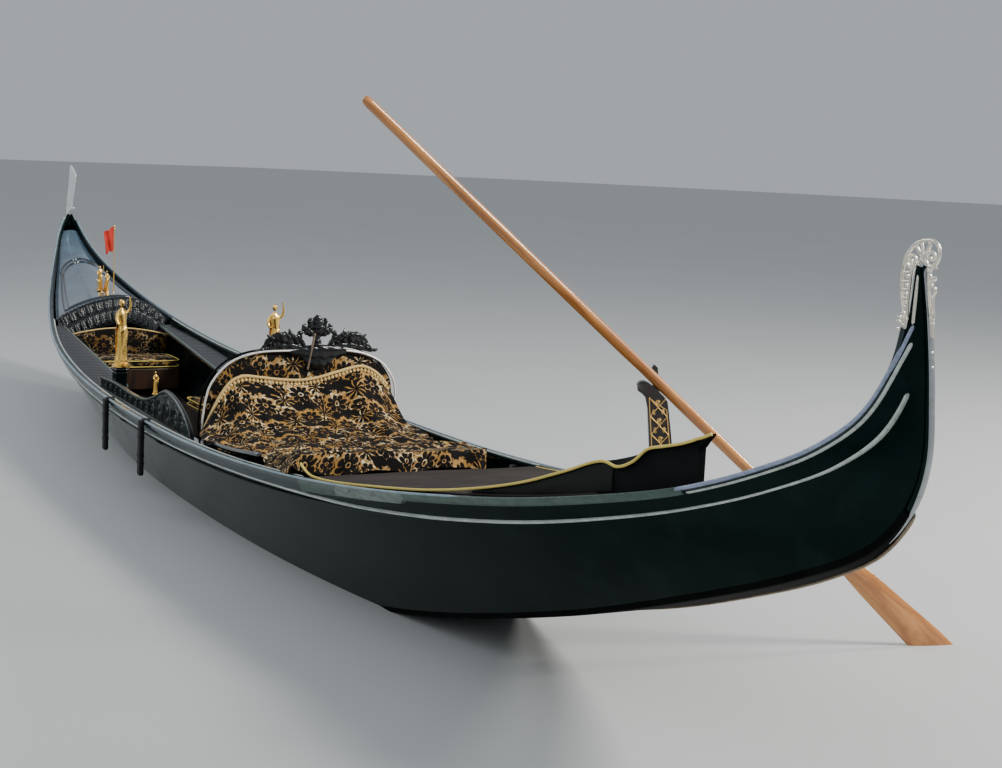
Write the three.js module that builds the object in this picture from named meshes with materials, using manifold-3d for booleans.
// A gondola boat, afloat with its oar in the rowlock.
// Millimetres. +X to the bow, +Y to port, +Z up. The origin lies amidships on the waterline.
import * as THREE from 'three';
import { mergeVertices } from 'three/addons/utils/BufferGeometryUtils.js';
import Module from 'manifold-3d';

const wasm = await Module();
wasm.setup();

// Driving dimensions.
const halfLength = 5420;
const portHalfBeam = 833;
const starboardHalfBeam = 552;
const planPower = 2.3;
const chineShare = 0.52;
const keelDepth = 195;
const sternRise = 1090;
const bowRise = 860;
const rockerPower = 2.13;
const rockerReach = 5218;
const plank = 22;
const fitGap = 0.35;
const postHalf = 10;
const hornHalf = 14;
const hullSteps = 63;
const side = { port: 1, starboard: -1 };

const planShare = (x) => 1 - (Math.abs(x) / halfLength) ** planPower;
const endRise = (x) => (x < 0 ? sternRise : bowRise);
const chineHeight = (x) => -keelDepth + endRise(x) * (Math.abs(x) / rockerReach) ** rockerPower;

// Sheer height amidships, by distance along the hull.
const sheerTable = [
  // x, z
  [-2600, 589], [-1400, 494], [0, 458], [1400, 468], [2600, 511],
];

// The two ends, from tip inwards: the sheer's point, the lower edge's point, and the port breadths of both.
const sternRows = [
  // topX, topZ, lowX, lowZ, topHalf, lowHalf
  [-5309, 1762, -5327, 1758, 14, 14],
  [-5298, 1600, -5362, 1590, 20, 14],
  [-5262, 1450, -5390, 1390, 28, 14],
  [-5190, 1300, -5397, 1200, 66, 14],
  [-5060, 1182, -5340, 1052, 122, 18],
  [-4850, 1072, -5208, 912, 188, 36],
  [-4550, 955, -4940, 772, 276, 80],
  [-4150, 850, -4450, 580, 382, 158],
  [-3600, 736, -3750, 345, 508, 247],
];
const bowRows = [
  // topX, topZ, lowX, lowZ, topHalf, lowHalf
  [3300, 582, 3360, 139, 567, 285],
  [3900, 680, 4150, 335, 443, 198],
  [4350, 788, 4850, 552, 330, 96],
  [4680, 890, 5240, 715, 239, 34],
  [4900, 985, 5372, 862, 172, 16],
  [5060, 1085, 5392, 1000, 118, 14],
  [5150, 1180, 5346, 1130, 68, 14],
  [5190, 1262, 5268, 1246, 22, 14],
];

// Closed solids from grids and rings.
function closedMesh(points, faces) {
  const geometry = new THREE.BufferGeometry();
  const numbers = points.flatMap((p) => [p.x, p.y, p.z]);
  geometry.setAttribute('position', new THREE.Float32BufferAttribute(numbers, 3));
  geometry.setIndex(faces.flat());
  return facingOut(geometry);
}

function facingOut(geometry) {
  const position = geometry.attributes.position;
  const index = geometry.index.array;
  const a = new THREE.Vector3();
  const b = new THREE.Vector3();
  const c = new THREE.Vector3();
  let volume = 0;
  for (let i = 0; i < index.length; i += 3) {
    a.fromBufferAttribute(position, index[i]);
    b.fromBufferAttribute(position, index[i + 1]);
    c.fromBufferAttribute(position, index[i + 2]);
    volume += a.dot(b.cross(c));
  }
  if (volume < 0) {
    for (let i = 0; i < index.length; i += 3) {
      [index[i], index[i + 1]] = [index[i + 1], index[i]];
    }
  }
  return geometry;
}

// A plate between two grids of points over the same u and v, closed along its four edges.
function plate(uSteps, vSteps, front, back) {
  const points = [];
  const faces = [];
  const row = vSteps + 1;
  const layer = (uSteps + 1) * row;
  for (const surface of [front, back]) {
    for (let i = 0; i <= uSteps; i += 1) {
      for (let j = 0; j <= vSteps; j += 1) {
        points.push(surface(i / uSteps, j / vSteps));
      }
    }
  }
  const quad = (a, b, c, d) => faces.push([a, b, c], [a, c, d]);
  for (let i = 0; i < uSteps; i += 1) {
    for (let j = 0; j < vSteps; j += 1) {
      const k = i * row + j;
      quad(k, k + row, k + row + 1, k + 1);
      quad(layer + k, layer + k + 1, layer + k + row + 1, layer + k + row);
    }
  }
  for (let i = 0; i < uSteps; i += 1) {
    const low = i * row;
    const high = low + vSteps;
    quad(low, layer + low, layer + low + row, low + row);
    quad(high, high + row, layer + high + row, layer + high);
  }
  for (let j = 0; j < vSteps; j += 1) {
    const near = j;
    const far = uSteps * row + j;
    quad(near, near + 1, layer + near + 1, layer + near);
    quad(far, layer + far, layer + far + 1, far + 1);
  }
  return closedMesh(points, faces);
}

// A bar through rings of points, each ring convex, closed at both ends.
function loft(rings) {
  const count = rings[0].length;
  const points = rings.flat();
  const faces = [];
  for (let r = 0; r < rings.length - 1; r += 1) {
    for (let k = 0; k < count; k += 1) {
      const a = r * count + k;
      const b = r * count + (k + 1) % count;
      faces.push([a, b, b + count], [a, b + count, a + count]);
    }
  }
  const last = (rings.length - 1) * count;
  for (let k = 1; k < count - 1; k += 1) {
    faces.push([0, k + 1, k], [last, last + k, last + k + 1]);
  }
  return closedMesh(points, faces);
}

function solidOf(geometry) {
  const bare = geometry.clone();
  bare.deleteAttribute('normal');
  bare.deleteAttribute('uv');
  const merged = mergeVertices(bare, 0.001);
  return new wasm.Manifold(new wasm.Mesh({
    numProp: 3,
    vertProperties: new Float32Array(merged.attributes.position.array),
    triVerts: new Uint32Array(merged.index.array),
  }));
}

function geometryOf(solid) {
  const mesh = solid.getMesh();
  const geometry = new THREE.BufferGeometry();
  geometry.setAttribute('position', new THREE.BufferAttribute(new Float32Array(mesh.vertProperties), 3));
  geometry.setIndex(new THREE.BufferAttribute(new Uint32Array(mesh.triVerts), 1));
  return geometry;
}

const joined = (...parts) => geometryOf(parts.map(solidOf).reduce((all, next) => all.add(next)));

const vec = (x, y, z) => new THREE.Vector3(x, y, z);
const mix = THREE.MathUtils.lerp;

function block(x0, x1, y0, y1, z0, z1) {
  const geometry = new THREE.BoxGeometry(x1 - x0, y1 - y0, z1 - z0);
  return geometry.translate((x0 + x1) / 2, (y0 + y1) / 2, (z0 + z1) / 2);
}

// An outline in the x and z of the boat, given thickness between two y.
function uprightBoard(outline, y0, y1, holes = []) {
  const shape = new THREE.Shape(outline.map(([x, z]) => new THREE.Vector2(x, z)));
  for (const hole of holes) shape.holes.push(new THREE.Path(hole.map(([x, z]) => new THREE.Vector2(x, z))));
  const geometry = new THREE.ExtrudeGeometry(shape, { depth: y1 - y0, bevelEnabled: false });
  return geometry.rotateX(Math.PI / 2).translate(0, y1, 0);
}

// An outline across the boat in y and z, given thickness between two x.
function crossBoard(outline, x0, x1, holes = []) {
  const shape = new THREE.Shape(outline.map(([y, z]) => new THREE.Vector2(y, z)));
  for (const hole of holes) shape.holes.push(new THREE.Path(hole.map(([y, z]) => new THREE.Vector2(y, z))));
  const geometry = new THREE.ExtrudeGeometry(shape, { depth: x1 - x0, bevelEnabled: false });
  const turn = new THREE.Matrix4().makeBasis(vec(0, 1, 0), vec(0, 0, 1), vec(1, 0, 0));
  return geometry.applyMatrix4(turn).translate(x0, 0, 0);
}

// Flat shapes that may be pierced: areas of a plane, added and cut before they get their thickness.
const area = (outline) => new wasm.CrossSection([outline], 'NonZero');
const areaOf = (outlines) => wasm.CrossSection.union(outlines.map(area));

// A stroke along a path in a plane, its half breadth given by the share of the way.
function stroke(path, halfAt, steps) {
  const line = new THREE.CatmullRomCurve3(path.map(([a, b]) => vec(a, b, 0)), false, 'centripetal');
  const edges = { left: [], right: [] };
  for (let i = 0; i <= steps; i += 1) {
    const share = i / steps;
    const here = line.getPoint(share);
    const ahead = line.getPoint(Math.min(share + 0.01, 1));
    const way = ahead.sub(line.getPoint(Math.max(share - 0.01, 0))).normalize();
    const half = halfAt(share);
    edges.left.push([here.x - way.y * half, here.y + way.x * half]);
    edges.right.push([here.x + way.y * half, here.y - way.x * half]);
  }
  return [...edges.right, ...edges.left.reverse()];
}

// A spiral path in a plane: the radius falls evenly as the angle runs.
function spiralPath([a, b], reach, turns, start, steps) {
  return Array.from({ length: steps + 1 }, (_, i) => {
    const share = i / steps;
    const angle = THREE.MathUtils.degToRad(start) + turns * 2 * Math.PI * share;
    const radius = reach * (1 - 0.85 * share);
    return [a + radius * Math.cos(angle), b + radius * Math.sin(angle)];
  });
}

// The two planes that such areas stand in: along the boat, and across it.
function standAlong(flat, y0, y1) {
  return geometryOf(flat.extrude(y1 - y0)).rotateX(Math.PI / 2).translate(0, y1, 0);
}
function standAcross(flat, x0, x1) {
  const turn = new THREE.Matrix4().makeBasis(vec(0, 1, 0), vec(0, 0, 1), vec(1, 0, 0));
  return geometryOf(flat.extrude(x1 - x0)).applyMatrix4(turn).translate(x0, 0, 0);
}

// The hull's two driving curves: the sheer above and the chine, running on up both posts, below.
function middleRow(x, z) {
  const half = portHalfBeam * planShare(x);
  return [x, z, x, chineHeight(x), half, half * chineShare];
}
const rows = [...sternRows, ...sheerTable.map(([x, z]) => middleRow(x, z)), ...bowRows];
const curve = (pick) => new THREE.CatmullRomCurve3(rows.map(pick), false, 'centripetal');
const sheerLine = curve(([topX, topZ, , , topHalf]) => vec(topX, topHalf, topZ));
const lowLine = curve(([, , lowX, lowZ, , lowHalf]) => vec(lowX, lowHalf, lowZ));
const atRow = (index) => index / (rows.length - 1);

function onSide(point, sign) {
  const share = sign > 0 ? 1 : starboardHalfBeam / portHalfBeam;
  return vec(point.x, sign * Math.max(point.y * share, hornHalf), point.z);
}

function skin(sign, s, v) {
  const top = onSide(sheerLine.getPoint(s), sign);
  const low = onSide(lowLine.getPoint(s), sign);
  const point = low.lerp(top, v);
  const fullness = 10 * Math.sin(Math.PI * s) ** 2;
  point.y += sign * fullness * Math.sin(Math.PI * v);
  return point;
}

function skinNormal(sign, s, v) {
  const step = 0.002;
  const alongS = skin(sign, Math.min(s + step, 1), v).sub(skin(sign, Math.max(s - step, 0), v));
  const alongV = skin(sign, s, Math.min(v + step, 1)).sub(skin(sign, s, Math.max(v - step, 0)));
  const normal = alongS.cross(alongV).normalize();
  return normal.y * sign < 0 ? normal.negate() : normal;
}

function innerSkin(sign, s, v, depth = plank) {
  const point = skin(sign, s, v);
  const inward = depth / Math.max(Math.abs(skinNormal(sign, s, v).y), 0.5);
  point.y = sign * Math.max(sign * point.y - inward, postHalf + fitGap);
  return point;
}

function hullSide(sign) {
  return plate(hullSteps, 4, (s, v) => skin(sign, s, v), (s, v) => innerSkin(sign, s, v));
}

// The lower line on the centre plane, moved along its own outward normal.
function keelLine(s, out) {
  const here = lowLine.getPoint(s);
  const step = 0.003;
  const ahead = lowLine.getPoint(Math.min(s + step, 1));
  const behind = lowLine.getPoint(Math.max(s - step, 0));
  const normal = vec(ahead.z - behind.z, 0, behind.x - ahead.x).normalize();
  return { half: here.y, point: vec(here.x + normal.x * out, 0, here.z + normal.z * out) };
}

const perRow = hullSteps / (rows.length - 1);
const bottomThickness = 24;
const postProud = 12;
const bottomFrom = 4 * perRow;
const bottomTo = hullSteps - 3 * perRow;
const stations = (from, to) => Array.from({ length: to - from + 1 }, (_, i) => (from + i) / hullSteps);

function hullBottom() {
  const surface = (out) => (u, v) => {
    const s = mix(bottomFrom, bottomTo, u) / hullSteps;
    const { half, point } = keelLine(s, out);
    const portY = half;
    const starboardY = -Math.max(half * starboardHalfBeam / portHalfBeam, hornHalf);
    return vec(point.x, mix(starboardY, portY, v), point.z);
  };
  return plate(bottomTo - bottomFrom, 2, surface(fitGap), surface(bottomThickness));
}

// A post between two stations, its end nearest the bottom boards drawn back a hair from them.
function endPost(from, to, deep) {
  const clear = 0.00006;
  return loft(stations(from, to).map((station) => {
    const s = THREE.MathUtils.clamp(station, bottomTo / hullSteps + clear, 1);
    return from === 0 ? Math.min(station, bottomFrom / hullSteps - clear) : s;
  }).map((s, i, all) => {
    const toTip = from === 0 ? 1 - i / (all.length - 1) : i / (all.length - 1);
    const room = sheerLine.getPoint(s).setY(0).distanceTo(lowLine.getPoint(s).setY(0));
    const outer = keelLine(s, mix(bottomThickness, postProud, toTip)).point;
    const inner = keelLine(s, -Math.min(deep, room * 0.8)).point;
    return [vec(outer.x, -postHalf, outer.z), vec(outer.x, postHalf, outer.z),
      vec(inner.x, postHalf, inner.z), vec(inner.x, -postHalf, inner.z)];
  }));
}

// A place on the sheer, with the directions outward and upward that are square to it.
function sideFrame(sign, s) {
  const step = 0.5 / hullSteps;
  const ahead = skin(sign, Math.min(s + step, 1), 1);
  const tangent = ahead.sub(skin(sign, Math.max(s - step, 0), 1)).normalize();
  const outward = vec(0, sign, 0).addScaledVector(tangent, -sign * tangent.y).normalize();
  const upward = outward.clone().cross(tangent).multiplyScalar(-sign);
  return { guide: skin(sign, s, 1), outward, upward };
}

const railOut = 8;
const railIn = 30;
const railHeight = 22;
const railLift = 0.8;
const railFrom = 4;
const bandFrom = 15;
const bandDrop = 44;
const bandOut = 9;
const bandClear = 0.9;

// The gunwale: a capping on the planks' top edge, with a band that laps down over their outside.
function gunwale(sign) {
  return loft(stations(railFrom, hullSteps - 2).map((s) => {
    const { guide, outward, upward } = sideFrame(sign, s);
    const at = (out, up) => {
      const point = guide.clone().addScaledVector(outward, out).addScaledVector(upward, up);
      if (sign * point.y < fitGap) point.y = sign * fitGap;
      return point;
    };
    const reach = sheerLine.getPoint(s).distanceTo(lowLine.getPoint(s));
    const drop = s * hullSteps < bandFrom ? 2 : Math.min(bandDrop, reach * 0.3);
    const level = 1 - drop / reach;
    const normal = skinNormal(sign, s, level);
    const foot = (out) => skin(sign, s, level).addScaledVector(normal, out);
    return [
      at(bandClear, railLift), foot(bandClear), foot(bandOut), at(railOut, railLift),
      at(railOut, railHeight), at(-railIn, railHeight), at(-railIn, railLift),
    ];
  }));
}

const strakeBelow = 78;
const strakeOut = 14;
const strakeHeight = 20;
function rubStrake(sign) {
  return loft(stations(2 * perRow, hullSteps - 2 * perRow).map((s) => {
    const reach = sheerLine.getPoint(s).distanceTo(lowLine.getPoint(s));
    const upper = 1 - Math.min(strakeBelow / reach, 0.5);
    const lower = upper - strakeHeight / reach;
    const normal = skinNormal(sign, s, upper);
    const ring = [[lower, 0.9], [lower, strakeOut], [upper, strakeOut], [upper, 0.9]];
    return ring.map(([v, out]) => skin(sign, s, v).addScaledVector(normal, out));
  }));
}

// Where a driving curve passes a place along the hull.
function stationOf(line, x) {
  let low = 0.08;
  let high = 0.92;
  for (let i = 0; i < 40; i += 1) {
    const mid = (low + high) / 2;
    if (line.getPoint(mid).x < x) low = mid;
    else high = mid;
  }
  return (low + high) / 2;
}
const bottomAt = (x) => lowLine.getPoint(stationOf(lowLine, x)).z;

// Sheer height and half breadths at a place along the hull.
function sheerAt(x) {
  const s = stationOf(sheerLine, x);
  const point = sheerLine.getPoint(s);
  const starboard = Math.max(point.y * starboardHalfBeam / portHalfBeam, hornHalf);
  return { z: point.z, port: Math.max(point.y, hornHalf), starboard, s };
}

const model = new THREE.Group();
const finishes = {
  lacquer: { color: 0x0b0d0f, roughness: 0.12, metalness: 0 },
  carvedBlack: { color: 0x101214, roughness: 0.3, metalness: 0 },
  greyTrim: { color: 0xa9b3ac, roughness: 0.4, metalness: 0.2 },
  polishedMetal: { color: 0xcfd2d4, roughness: 0.25, metalness: 1 },
  gilding: { color: 0xd7a63a, roughness: 0.3, metalness: 1 },
  damask: { color: 0x6b5526, roughness: 0.7, metalness: 0 },
  darkCloth: { color: 0x17181a, roughness: 0.85, metalness: 0 },
  boards: { color: 0x2a2320, roughness: 0.6, metalness: 0 },
  walnut: { color: 0x2b1b12, roughness: 0.35, metalness: 0 },
  oarWood: { color: 0x9a6534, roughness: 0.45, metalness: 0 },
  rubber: { color: 0x0d0d0e, roughness: 0.8, metalness: 0 },
  flagCloth: { color: 0xa3241c, roughness: 0.8, metalness: 0 },
};
const materials = Object.fromEntries(
  Object.entries(finishes).map(([name, look]) => [name, new THREE.MeshStandardMaterial(look)]),
);
function add(name, geometry, finish) {
  const mesh = new THREE.Mesh(geometry, materials[finish]);
  mesh.name = name;
  model.add(mesh);
}

// Hull.
add('hull_bottom', hullBottom(), 'lacquer');
for (const [name, sign] of Object.entries(side)) {
  add(`hull_side_${name}`, hullSide(sign), 'lacquer');
  add(`gunwale_${name}`, gunwale(sign), 'greyTrim');
  add(`rub_strake_${name}`, rubStrake(sign), 'greyTrim');
}
add('stern_post', endPost(0, bottomFrom, 90), 'lacquer');
add('stem_post', endPost(bottomTo, hullSteps, 90), 'lacquer');

// Inner half breadth of the hull at a place along it and a height: a ray from the centre to the planks.
const ray = new THREE.Raycaster();
const bothFaces = new THREE.MeshBasicMaterial({ side: THREE.DoubleSide });
const sideSolids = {};
for (const sign of Object.values(side)) sideSolids[sign] = new THREE.Mesh(hullSide(sign), bothFaces);
function roomAt(sign, x, z) {
  ray.set(vec(x, 0, z), vec(0, sign, 0));
  const hit = ray.intersectObject(sideSolids[sign])[0];
  return hit ? hit.distance : insideRailAt(sign, x);
}
function insideRailAt(sign, x) {
  const here = sheerAt(x);
  return (sign > 0 ? here.port : here.starboard) - plank;
}
const sideClear = 0.4;
const deckClear = 0.65;
const roomBetween = (sign, x0, x1, z) => Math.min(roomAt(sign, x0, z), roomAt(sign, x1, z)) - sideClear;
const deckMargin = railIn + 8;

// A crowned deck from plank to plank, its edges under the gunwales. Columns are shares of its half breadth.
const plainColumns = [-1, -0.75, -0.5, -0.25, 0, 0.25, 0.5, 0.75, 1];
function deck(x0, x1, crown, rise, thickness, steps, columns = plainColumns, ridge = () => 0) {
  const last = columns.length - 1;
  const surface = (drop) => (u, v) => {
    const x = mix(x0, x1, u);
    const z = sheerAt(x).z + rise;
    const across = columns[Math.round(v * last)];
    const half = roomAt(Math.sign(across) || 1, x, z - thickness) - deckClear;
    const raised = drop ? 0 : ridge(x, across);
    return vec(x, across * Math.max(half, 2), z + crown(u) * (1 - across ** 2) + raised - drop);
  };
  return plate(steps, last, surface(0), surface(thickness));
}

// An upright board right across the hull, its ends cut to the planks.
function bulkhead(x0, x1, z0, z1, topCurve = () => 0) {
  const levels = [0, 0.5, 1].map((share) => mix(z0, z1, share));
  const port = levels.map((z) => [roomBetween(1, x0, x1, z), z]);
  const starboard = levels.map((z) => [-roomBetween(-1, x0, x1, z), z]).reverse();
  const crown = [0.75, 0.5, 0.25].map((share) => {
    const y = mix(starboard[0][0], port[2][0], share);
    return [y, z1 + topCurve(share)];
  });
  return crossBoard([...port, ...crown, ...starboard], x0, x1);
}

// Decks.
const foredeckAft = 3490;
const foredeckFore = 5040;
const foredeckCrown = 158;
const foredeckRise = -20;
const deckThickness = 20;
const foredeckCrownAt = (u) => mix(foredeckCrown, 10, u);
const mouldingShare = 0.86;
const mouldingHeight = 9;
const mouldingX = [3600, 4640];
const foredeckColumns = [-1, -0.88, -0.86, -0.84, -0.6, -0.3, 0, 0.3, 0.6, 0.84, 0.86, 0.88, 1];
const mouldingAt = (x, across) => {
  const along = x > mouldingX[0] && x < mouldingX[1];
  return along && Math.abs(across) === mouldingShare ? mouldingHeight : 0;
};
const foredeckShape = [foredeckAft, foredeckFore, foredeckCrownAt, foredeckRise, deckThickness, 21];
const foredeckPlate = deck(...foredeckShape, foredeckColumns, mouldingAt);
add('foredeck', foredeckPlate, 'lacquer');
const sternDeckRise = -8;
add('stern_deck', deck(-5080, -4150, () => 0, sternDeckRise, deckThickness, 8), 'lacquer');

// The stepped carved face that ends the foredeck, over the well.
function coaming() {
  const back = foredeckAft - fitGap;
  const profile = [
    // x from the deck's edge, z from the deck's top
    [0, -168], [0, 0], [-22, 14], [-44, 4], [-58, -58], [-78, -70], [-92, -150], [-92, -168],
  ];
  const here = sheerAt(back);
  const rings = [];
  for (let i = 0; i <= 12; i += 1) {
    const across = mix(-1, 1, i / 12);
    const sign = Math.sign(across) || 1;
    const widest = (across < 0 ? here.starboard : here.port) - deckMargin;
    const top = here.z + foredeckRise + foredeckCrown * (1 - across ** 2);
    rings.push(profile.map(([dx, dz]) => {
      const edgeZ = here.z + foredeckRise + dz;
      const half = Math.min(widest, roomAt(sign, back, edgeZ) - 6);
      return vec(back + dx, across * half, top + dz);
    }));
  }
  return loft(rings);
}
add('foredeck_coaming', coaming(), 'carvedBlack');

// Floor boards on battens, following the bottom.
const floorFrom = -2150;
const floorTo = 3300;
const floorLift = 96;
const floorThickness = 18;
const floorAt = (x) => bottomAt(x) + floorLift;
function floorBoards() {
  const surface = (drop) => (u, v) => {
    const x = mix(floorFrom, floorTo, u);
    const z = floorAt(x);
    const port = roomAt(1, x, z - floorThickness) - sideClear;
    const starboard = roomAt(-1, x, z - floorThickness) - sideClear;
    return vec(x, mix(-starboard, port, v), z - drop);
  };
  const solids = [plate(18, 1, surface(0), surface(floorThickness))];
  for (let x = floorFrom + 60; x < floorTo; x += 640) {
    const low = Math.max(bottomAt(x), bottomAt(x + 50)) + 2;
    const half = portHalfBeam * chineShare * planShare(x) * 0.6;
    solids.push(block(x, x + 50, -half * 0.8, half, low, floorAt(x) - floorThickness / 2));
  }
  return joined(...solids);
}
add('floor_boards', floorBoards(), 'boards');

// Side decks: fluted forward, plain ledges beside the seat.
const flutedFrom = 1620;
const flutedTo = 3385;
const ledgeFrom = -430;
const ledgeZ = 384;
const panelY = { port: [626, 654], starboard: [372, 400] };
const flutedInner = { port: 455, starboard: 250 };
const fluteCount = 40;
const fluteHeight = 6;
function sideDeck(sign, x0, x1, inner, height, steps, flute = 0) {
  const surface = (drop) => (u, v) => {
    const x = mix(x0, x1, u);
    const z = height(x);
    const room = roomAt(sign, x, z - drop) - sideClear;
    const raised = !drop && Math.round(u * steps) % 2 ? flute : 0;
    return vec(x, sign * mix(inner, room, v), z - drop + raised);
  };
  return plate(steps, 1, surface(0), surface(18));
}
const flutedHeight = (x) => mix(386, 556, (x - flutedFrom) / (flutedTo - flutedFrom));
for (const [name, sign] of Object.entries(side)) {
  const flutedSpan = [flutedFrom, flutedTo, flutedInner[name], flutedHeight, 2 * fluteCount, fluteHeight];
  const fluted = sideDeck(sign, ...flutedSpan);
  add(`fluted_side_deck_${name}`, fluted, 'carvedBlack');
  const ledge = sideDeck(sign, ledgeFrom, flutedFrom - fitGap, panelY[name][0] - 60, () => ledgeZ, 8);
  add(`side_ledge_${name}`, ledge, 'lacquer');
}

// The carved side panels, with a scrolled armrest at the after end.
const panelOutline = [
  // x, z
  [1540, ledgeZ + fitGap], [1540, 470], [1180, 484], [790, 476], [520, 488], [320, 536], [120, 596],
  [-20, 590],
  [-160, 556], [-290, 500], [-365, 440], [-385, ledgeZ + fitGap],
];
for (const [name, sign] of Object.entries(side)) {
  const [low, high] = panelY[name].map((y) => sign * y).sort((a, b) => a - b);
  add(`side_panel_${name}`, uprightBoard(panelOutline, low, high), 'carvedBlack');
}

// The main seat, facing forward.
const seatFore = 120;
const seatAft = -430;
const backFace = -440;
const backThick = 70;
const seatPort = 560;
const seatStarboard = -330;
const seatBoardZ = [150, 170];
function footOf(x0, x1, z0, z1) {
  const port = roomBetween(1, x0, x1, z0) - 10;
  const starboard = roomBetween(-1, x0, x1, z0) - 10;
  return block(x0, x1, -starboard, port, z0, z1);
}
add('seat_base', joined(
  footOf(seatAft, seatFore, floorAt(seatAft) + 1, seatBoardZ[1]),
  block(backFace - backThick - 2, seatFore, seatStarboard, seatPort, ...seatBoardZ),
), 'lacquer');
add('seat_cushion', block(seatAft + 8, seatFore + 10, seatStarboard + 6, seatPort - 6, 170.5, 262), 'damask');
const backFoot = seatBoardZ[1] + fitGap;
const backOutline = [
  // y, z
  [-330, backFoot], [-424, 330], [-446, 500], [-455, 668], [-436, 735], [-372, 815], [-270, 866],
  [-92, 890], [120, 888], [345, 878], [485, 828], [585, 716], [622, 560], [624, 470], [600, 330],
  [540, backFoot],
];
add('seat_back', crossBoard(backOutline, backFace - backThick, backFace), 'damask');

// A covered bench aft of the seat, on two thwarts. Its top slopes up towards the stern.
const thwartZ = [240, 318];
const benchTable = [
  // x, z of the top, starboard edge
  [-620, 452, 410], [-1100, 474, 405], [-1500, 529, 360], [-1850, 588, 275], [-2140, 634, 195],
];
const benchPort = 640;
function tableAt(table, x) {
  const found = table.findIndex(([at]) => (table[0][0] > table[1][0] ? at <= x : at >= x));
  const i = found < 0 ? table.length - 1 : Math.max(1, found);
  const [x0, z0] = table[i - 1];
  const [x1, z1] = table[i];
  return mix(z0, z1, (x - x0) / (x1 - x0));
}
function aftBench() {
  const foot = thwartZ[1] + fitGap;
  return loft(benchTable.map(([x, top, starboard]) => {
    const lowPort = Math.min(benchPort, roomAt(1, x, foot) - 8);
    const lowStarboard = Math.min(starboard, roomAt(-1, x, foot) - 8);
    return [
      vec(x, -lowStarboard, foot), vec(x, lowPort, foot), vec(x, benchPort, top), vec(x, -starboard, top),
    ];
  }));
}
add('thwart_mid', bulkhead(-740, -680, ...thwartZ), 'boards');
add('thwart_aft', bulkhead(-2120, -2060, ...thwartZ), 'boards');
add('aft_bench', aftBench(), 'lacquer');

// The cloth that falls from the back of the seat over the bench and ends in a hem behind it.
function drape() {
  const path = [
    // x, z, port edge, starboard edge
    [-524, 770, 560, -400], [-545, 735, 575, -410], [-590, 680, 610, -425], [-660, 612, 645, -440],
    [-760, 556, 675, -450], [-880, 520, 690, -455], [-1000, 496, 700, -455],
    ...[
      [-1100, -450], [-1300, -428], [-1500, -395], [-1675, -352], [-1850, -305], [-2000, -262], [-2140, -222],
    ].map(([x, starboard]) => [x, tableAt(benchTable, x) + 0.8, 690, starboard]),
    [-2152, 628, 680, -214], [-2158, 600, 675, -212], [-2160, 555, 670, -210],
  ];
  const thick = 12;
  const last = path.length - 1;
  const surface = (share) => (u, v) => {
    const k = Math.round(u * last);
    const [x, z, port, starboard] = path[k];
    const [x0, z0] = path[Math.max(k - 1, 0)];
    const [x1, z1] = path[Math.min(k + 1, last)];
    const length = Math.hypot(x1 - x0, z1 - z0);
    const off = share * thick / length;
    return vec(x + (z1 - z0) * off, mix(starboard, port, v), z - (x1 - x0) * off);
  };
  return plate(last, 2, surface(0), surface(1));
}
add('seat_drape', drape(), 'damask');

// The crest over the seat back: leaves on both hands of a spire, pierced between, on a foot along the seat.
const crestFoot = [
  // y, z
  [-330, 846], [-270, 872], [-180, 884], [-80, 894], [0, 896], [80, 894], [180, 892], [330, 884],
];
const crestLeaves = [
  // path aside and up from the middle, half breadth
  { path: [[20, 880], [70, 925], [135, 945], [205, 930], [270, 905], [330, 868]], half: 24 },
  { path: [[110, 905], [170, 930], [215, 962], [262, 958], [275, 932]], half: 18 },
  { path: [[200, 905], [255, 935], [300, 935], [322, 905], [300, 885]], half: 15 },
  { path: [[95, 930], [125, 965], [142, 1005]], half: 15 },
  { path: [[125, 935], [165, 968], [200, 998]], half: 13 },
  { path: [[240, 925], [295, 968], [350, 985], [368, 962]], half: 12 },
  { path: [[30, 885], [85, 915], [102, 960], [80, 990], [58, 975]], half: 11 },
  { path: [[28, 900], [48, 950], [40, 990], [62, 1018]], half: 12 },
];
const crestSpire = { path: [[0, 880], [0, 960], [0, 1020], [0, 1077]], half: 30 };
const crestBack = backFace - 40;
const crestThick = 26;
function leafHalf(half) {
  return (share) => {
    const rising = 0.35 + 1.6 * share;
    const falling = Math.sqrt(1.6 * (1 - share));
    return half * Math.max(0.12, Math.min(rising, falling, 1));
  };
}
function seatCrest() {
  const mirrored = (path, hand) => path.map(([y, z]) => [hand * y, z]);
  const leaves = crestLeaves.flatMap(({ path, half }) => [1, -1].map((hand) => (
    stroke(mirrored(path, hand), leafHalf(half), 9))));
  const spire = stroke(crestSpire.path, leafHalf(crestSpire.half), 9);
  const foot = stroke(crestFoot, () => 14, 9);
  const seat = area(backOutline).offset(fitGap, 'Miter');
  const flat = areaOf([...leaves, spire, foot]).subtract(seat);
  return standAcross(flat, crestBack - crestThick, crestBack);
}
add('seat_crest', seatCrest(), 'carvedBlack');

// Forward bench that faces aft, and two stools.
const benchX = [2760, 3120];
add('forward_bench', footOf(...benchX, floorAt(benchX[1]) + 1, 330), 'lacquer');
add('forward_cushion', block(benchX[0] - 6, benchX[1] - 4, -230, 350, 330.5, 400), 'damask');
add('forward_seat_back', bulkhead(3290, 3325, 250, 500, (share) => 60 * Math.sin(Math.PI * share)), 'damask');
for (const [name, sign] of Object.entries(side)) {
  const y = name === 'port' ? [170, 410] : [-255, -45];
  add(`side_stool_${name}`, block(1700, 2060, ...y, floorAt(2060) + 1, 190), 'lacquer');
  add(`stool_cushion_${name}`, block(1706, 2054, y[0] + 5, y[1] - 5, 190.5, 250), 'damask');
}

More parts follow.
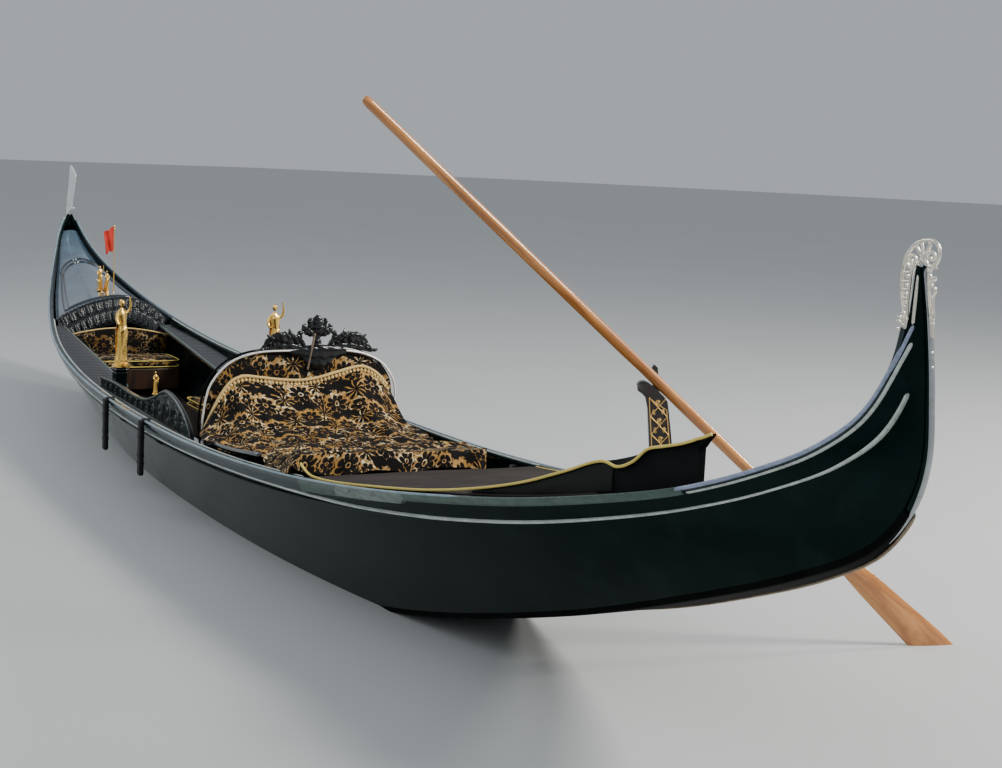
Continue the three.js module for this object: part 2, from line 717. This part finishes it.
// The standing platform aft, with a board on edge along its port side.
const platformRise = [
  // x, height over the sheer
  [-4140, 20], [-3490, 22], [-3190, 24], [-2800, 18], [-2440, 12], [-2210, 8],
];
const matThickness = 9;
const platformTop = (x) => sheerAt(x).z + tableAt(platformRise, x);
function platformSlab(x0, x1, from, to) {
  const surface = ([level, half]) => (u, v) => {
    const x = mix(x0, x1, u);
    return vec(x, mix(-half(-1, x), half(1, x), v), level(x));
  };
  return plate(14, 1, surface(from), surface(to));
}
const platformBase = (x) => sheerAt(x).z - 30;
const insideRail = (inset) => (sign, x) => (sign > 0 ? sheerAt(x).port : sheerAt(x).starboard) - inset;
const insidePlank = (sign, x) => roomAt(sign, x, platformBase(x)) - sideClear;
const platform = [[platformBase, insidePlank], [platformTop, insideRail(deckMargin)]];
add('standing_platform', platformSlab(-4140, -2215, ...platform), 'lacquer');
const matSides = insideRail(deckMargin - 4);
const matLevels = [fitGap, matThickness].map((lift) => [(x) => platformTop(x) + lift, matSides]);
const matEnds = [-4136, -2200];
add('platform_mat', platformSlab(...matEnds, ...matLevels), 'darkCloth');

// The board's top rises in a wave to its after end. It stands on the mat, and behind it on the deck.
const boardRise = [
  // x, height over the sheer
  [-4560, 160], [-4500, 158], [-4420, 158], [-4350, 155], [-4290, 118], [-4220, 104], [-4146, 128],
  [-3950, 98], [-3760, 67], [-3490, 40], [-3190, 24],
];
const boardThick = 30;
const boardInset = deckMargin + 12;
const onDeck = (x) => sheerAt(x).z + sternDeckRise + 1.2;
const onMat = (x) => platformTop(x) + matThickness + fitGap;
const boardStations = [
  ...[-4560, -4500, -4420, -4350, -4290, -4220, -4147].map((x) => [x, onDeck(x)]),
  ...[-4143, ...[0, 1, 2, 3, 4, 5].map((k) => mix(...matEnds, k / 14))].map((x) => [x, onMat(x)]),
];
const boardTop = (x) => sheerAt(x).z + tableAt(boardRise, x);
function sternBoard() {
  return loft(boardStations.map(([x, foot]) => {
    const outer = sheerAt(x).port - boardInset;
    const inner = outer - boardThick;
    return [vec(x, inner, foot), vec(x, outer, foot), vec(x, outer, boardTop(x)), vec(x, inner, boardTop(x))];
  }));
}
add('stern_box', sternBoard(), 'darkCloth');

// The cloth strip on the board's top, its after end drawn out to a point.
const stripLap = 6;
const stripPoint = 52;
function boardStrip() {
  const stations = boardStations.map(([x]) => x);
  const surface = (lift) => (u, v) => {
    const k = Math.round(u * stations.length) - 1;
    const x = stations[Math.max(k, 0)];
    const outer = sheerAt(x).port - boardInset + stripLap;
    const inner = k < 0 ? outer - 12 : outer - boardThick - 2 * stripLap;
    return vec(k < 0 ? x - stripPoint : x, mix(inner, outer, v), boardTop(x) + lift);
  };
  return plate(stations.length, 1, surface(0.6), surface(9));
}
add('stern_box_cover', boardStrip(), 'darkCloth');

// The oar, balanced in the rowlock on the starboard gunwale.
const notch = vec(-3297, -385, 1127);
const bladeMeetsWater = vec(-3599, -1649, 0);
const oarWay = bladeMeetsWater.clone().sub(notch).normalize();
const oarShaft = 24;
function oar() {
  const table = [
    // distance out from the notch, half width, half thickness
    [-1620, 17, 17], [-1600, 21, 21], [-900, 23, 23], [0, oarShaft, oarShaft], [700, 23, 23], [1050, 30, 22],
    [1300, 52, 16], [1700, 72, 11], [2300, 76, 9], [2520, 70, 8], [2550, 60, 6],
  ];
  const across = vec(0, 0, 1).cross(oarWay).normalize();
  const over = oarWay.clone().cross(across).normalize();
  const sides = 10;
  return loft(table.map(([out, wide, thick]) => Array.from({ length: sides }, (_, k) => {
    const turn = (k + 0.5) / sides * 2 * Math.PI;
    return notch.clone().addScaledVector(oarWay, out)
      .addScaledVector(across, thick * Math.cos(turn)).addScaledVector(over, wide * Math.sin(turn));
  })));
}
add('oar', oar(), 'oarWood');

// The rowlock: a carved blade of walnut whose face looks aft, leaning to the bow, with a hook inboard
// under the oar and a horn on the far side of it.
const forcolaWide = vec(-0.452, -0.892, 0);
const forcolaNear = forcolaWide.clone().cross(vec(0, 0, 1));
const forcolaLean = vec(0.355, -0.068, 1);
const forcolaFoot = -362;
const forcolaHalf = 22;
function forcolaBoard(outline, near, far) {
  const shape = new THREE.Shape(outline.map(([w, h]) => new THREE.Vector2(w, h)));
  const geometry = new THREE.ExtrudeGeometry(shape, { depth: near - far, bevelEnabled: false });
  geometry.translate(0, 0, far);
  const basis = new THREE.Matrix4().makeBasis(forcolaWide, forcolaLean, forcolaNear);
  return geometry.applyMatrix4(basis).translate(notch.x, notch.y, notch.z);
}
const forcolaOutline = [
  // width outboard, height from the oar's centre
  [-48, forcolaFoot], [48, forcolaFoot], [47, -300], [45, -190], [42, -110], [40, -79], [30, -64.8],
  [0, -36.5],
  [-30, -11.5], [-48, -4.4], [-64, -6.5], [-78, -19], [-77, -42], [-62, -52], [-48, -66], [-42, -110],
  [-44, -190],
  [-47, -300],
];
const hornReach = [60, 84];
const hornArm = [[-12, -140], [18, -150], [18, -100], [-12, -92]];
const hornUpright = [[-10, -140], [16, -150], [16, 40], [2, 52], [-10, 36]];
add('forcola', joined(
  forcolaBoard(forcolaOutline, forcolaHalf, -forcolaHalf),
  forcolaBoard(hornArm, -forcolaHalf + 6, -hornReach[1]),
  forcolaBoard(hornUpright, -hornReach[0], -hornReach[1]),
), 'walnut');
function forcolaBlock() {
  const top = notch.z + forcolaFoot - fitGap;
  const foot = notch.clone().addScaledVector(forcolaLean, forcolaFoot);
  const ring = (x) => {
    const here = sheerAt(x);
    const bottom = here.z + railHeight + 1;
    const outer = -here.starboard - railOut - 32;
    const inner = -here.starboard + railIn + 2;
    return [vec(x, outer, bottom), vec(x, inner, bottom), vec(x, inner, top), vec(x, outer, top)];
  };
  return loft([foot.x - 62, foot.x, foot.x + 62].map(ring));
}
add('forcola_block', forcolaBlock(), 'walnut');

// Gilded figures. Each is a standing form turned about its own axis, with two arms.
const figureBody = [
  // radius and height, as shares of the whole height
  [0, 0], [0.1, 0], [0.1, 0.05], [0.088, 0.06], [0.085, 0.2], [0.072, 0.36], [0.078, 0.46], [0.054, 0.6],
  [0.07, 0.72], [0.06, 0.79], [0.024, 0.825], [0.024, 0.85], [0.042, 0.89], [0.042, 0.935], [0.022, 0.96],
  [0, 0.965],
];
const figureArms = {
  // outward, ahead and up, and the arm's radius there, as shares of the height; the first arm hangs
  lowered: [
    [-0.05, 0, 0.77, 0.026], [-0.1, 0.02, 0.69, 0.022], [-0.08, 0.055, 0.62, 0.017],
    [-0.04, 0.085, 0.625, 0.012],
  ],
  raised: [
    [0.05, 0, 0.77, 0.026], [0.11, 0.01, 0.8, 0.022], [0.125, 0.03, 0.89, 0.016], [0.11, 0.034, 1, 0.012],
  ],
  resting: [
    [0.05, 0, 0.77, 0.026], [0.098, 0.02, 0.69, 0.022], [0.085, 0.05, 0.61, 0.017],
    [0.045, 0.07, 0.57, 0.012],
  ],
};
function figure(x, y, z, height, facing, arms) {
  const points = figureBody.map(([r, h]) => new THREE.Vector2(r * height, h * height));
  const body = new THREE.LatheGeometry(points, 10).rotateX(Math.PI / 2);
  const limb = (table) => loft(table.map(([aside, ahead, up, radius]) => [0, 1, 2, 3, 4, 5].map((k) => {
    const turn = k / 6 * 2 * Math.PI;
    const level = up + radius * Math.sin(turn) * 0.7;
    const across = Math.sign(table[0][0]) * radius * Math.sin(turn) * 0.7;
    return vec(ahead + radius * Math.cos(turn), aside - across, level).multiplyScalar(height);
  })));
  const whole = joined(body, ...arms.map((name) => limb(figureArms[name])));
  return whole.rotateZ(THREE.MathUtils.degToRad(facing)).translate(x, y, z);
}
const tallFigures = {
  // x, y, foot, height, the way it faces
  port: [1300, 590, 560, 423, 200],
  starboard: [1130, -335, 560, 410, 165],
};
for (const [name, [x, y, z, height, facing]] of Object.entries(tallFigures)) {
  add(`pedestal_${name}`, block(x - 46, x + 46, y - 34, y + 34, ledgeZ + fitGap, z - fitGap), 'carvedBlack');
  add(`figure_${name}`, figure(x, y, z, height, facing, ['lowered', 'raised']), 'gilding');
}
const smallFigures = {
  // x, y, foot, height, the way it faces
  port: [330, 640, 537.8, 140, 190],
  starboard: [330, -386, 537.8, 140, 170],
};
for (const [name, place] of Object.entries(smallFigures)) {
  add(`small_figure_${name}`, figure(...place, ['lowered', 'resting']), 'gilding');
}
// Height at which a round foot stands clear of the deck below it.
function seatOn(geometry, x, y, radius) {
  const below = new THREE.Mesh(geometry, bothFaces);
  const heights = Array.from({ length: 16 }, (_, k) => {
    const turn = k / 8 * Math.PI;
    ray.set(vec(x + radius * Math.cos(turn), y + radius * Math.sin(turn), 3000), vec(0, 0, -1));
    return ray.intersectObject(below)[0].point.z;
  });
  return Math.max(...heights) + fitGap;
}
const foredeckFigureX = 3850;
const foredeckFigureHeight = 190;
const figureFoot = seatOn(foredeckPlate, foredeckFigureX, 62, foredeckFigureHeight * 0.1);
const foredeckFigure = [foredeckFigureX, 62, figureFoot, foredeckFigureHeight, 175];
add('foredeck_figure', figure(...foredeckFigure, ['lowered', 'raised']), 'gilding');
const poleFoot = seatOn(foredeckPlate, foredeckFigureX, -20, 5);
const poleTop = 1262;
add('flag_pole', new THREE.CylinderGeometry(5, 5, poleTop - poleFoot, 8).rotateX(Math.PI / 2)
  .translate(foredeckFigureX, -20, (poleTop + poleFoot) / 2), 'gilding');
add('flag', block(foredeckFigureX - 2, foredeckFigureX + 2, -20 + 5.4, 66, 1020, 1250), 'flagCloth');

// Fenders hung from the port gunwale.
const fenderX = [600, -170];
fenderX.forEach((x, index) => {
  const here = sheerAt(x);
  const outer = here.port + railOut + 1;
  const railTop = here.z + railHeight + 1.2;
  add(`fender_port_${index + 1}`, joined(
    block(x - 28, x + 28, outer, outer + 28, 178, railTop + 7),
    block(x - 22, x + 22, here.port - railIn, outer + 14, railTop, railTop + 7),
  ), 'rubber');
});

// The stay behind the crest.
const stayRadius = 8;
const stay = new THREE.CylinderGeometry(stayRadius, stayRadius, 196, 10).rotateX(Math.PI / 2).rotateX(-0.18);
add('crest_stay', stay.translate(backFace - backThick - stayRadius - 0.5, 40, 884), 'greyTrim');

// The stern iron: an arch of metal round the tip of the stern horn.
const sternIronHalf = 6;
const sternIronOuter = [
  // x, z
  [-5258, 1560], [-5260, 1583], [-5245, 1654], [-5235, 1697], [-5233, 1755], [-5250, 1795], [-5283, 1820],
  [-5325, 1837], [-5368, 1836], [-5389, 1806], [-5395, 1770], [-5388, 1726], [-5386, 1692], [-5388, 1654],
  [-5396, 1599], [-5398, 1560],
];
const sternIronInner = [
  [-5385, 1560], [-5377, 1592], [-5342, 1772], [-5306, 1772], [-5297, 1600], [-5294, 1560],
];
const sternIronOpenings = [
  [[-5286, 1598], [-5272, 1598], [-5258, 1652], [-5262, 1668], [-5286, 1668]],
  [[-5289, 1684], [-5261, 1680], [-5251, 1700], [-5250, 1728], [-5290, 1728]],
  [[-5292, 1742], [-5248, 1742], [-5250, 1760], [-5264, 1786], [-5290, 1806], [-5308, 1812], [-5308, 1780]],
  [[-5334, 1784], [-5334, 1822], [-5362, 1824], [-5378, 1802], [-5384, 1772], [-5378, 1740], [-5352, 1752]],
  [[-5376, 1648], [-5372, 1648], [-5362, 1712], [-5374, 1722], [-5379, 1690]],
];
const sternIronSpirals = [
  // centre, reach, turns, starting angle
  [[-5279, 1769], 25, 1.6, -60], [[-5356, 1788], 28, -1.6, 230], [[-5271, 1706], 24, -1.2, 60],
  [[-5273, 1632], 15, 1.2, -100],
];
function sternIron() {
  const outer = area([...sternIronOuter, ...sternIronInner]);
  const bars = sternIronSpirals.map(([centre, reach, turns, start]) => (
    stroke(spiralPath(centre, reach, turns, start, 12), () => 3.2, 20)));
  const horn = area([...sternIronInner]).offset(0.1, 'Miter');
  const flat = outer.subtract(areaOf(sternIronOpenings)).add(areaOf(bars).subtract(horn));
  return standAlong(flat, -sternIronHalf, sternIronHalf);
}
add('stern_iron', sternIron(), 'polishedMetal');

// The bow iron: a strip down the stem, six prongs ahead, one astern and a broad blade above.
const ironHalf = 8;
const bladeOutline = [
  // x, z
  [5158, 1300], [5196, 1278], [5280, 1266], [5300, 1242], [5324, 1260], [5316, 1330], [5300, 1390],
  [5248, 1491], [5220, 1614], [5187, 1655], [5130, 1640], [5081, 1619], [5011, 1582], [5040, 1501],
  [5102, 1378],
];
const prongReach = 88;
const prongHalf = ironHalf - 1;
const aftProngOutline = [[5060, 1306], [5170, 1294], [5170, 1318], [5060, 1324]];
function stemStation(z) {
  let low = 0.8;
  let high = 1;
  for (let i = 0; i < 30; i += 1) {
    const mid = (low + high) / 2;
    if (lowLine.getPoint(mid).z < z) low = mid;
    else high = mid;
  }
  return low;
}
function stemSeat(s) {
  const toTip = THREE.MathUtils.clamp((s * hullSteps - bottomTo) / (hullSteps - bottomTo), 0, 1);
  return mix(bottomThickness, postProud, toTip) + 0.9;
}
function bowIron() {
  const from = bottomTo - 9;
  const strip = loft(stations(from, hullSteps).map((s) => {
    const seat = stemSeat(s);
    const inner = keelLine(s, seat).point;
    const outer = keelLine(s, seat + 14).point;
    return [vec(outer.x, -ironHalf, outer.z), vec(outer.x, ironHalf, outer.z),
      vec(inner.x, ironHalf, inner.z), vec(inner.x, -ironHalf, inner.z)];
  }));
  const prongs = [0, 1, 2, 3, 4, 5].map((k) => {
    const z = 1196 - k * 50;
    const s = stemStation(z);
    const x = keelLine(s, stemSeat(s) + 8).point.x;
    const outline = [[x, z], [x + prongReach, z + 4], [x + prongReach, z + 24], [x, z + 22]];
    return uprightBoard(outline, -prongHalf, prongHalf);
  });
  const aftProng = uprightBoard(aftProngOutline, -prongHalf, prongHalf);
  const blade = uprightBoard(bladeOutline, -ironHalf, ironHalf);
  return joined(strip, blade, aftProng, ...prongs);
}
add('bow_iron', bowIron(), 'polishedMetal');

export default model;
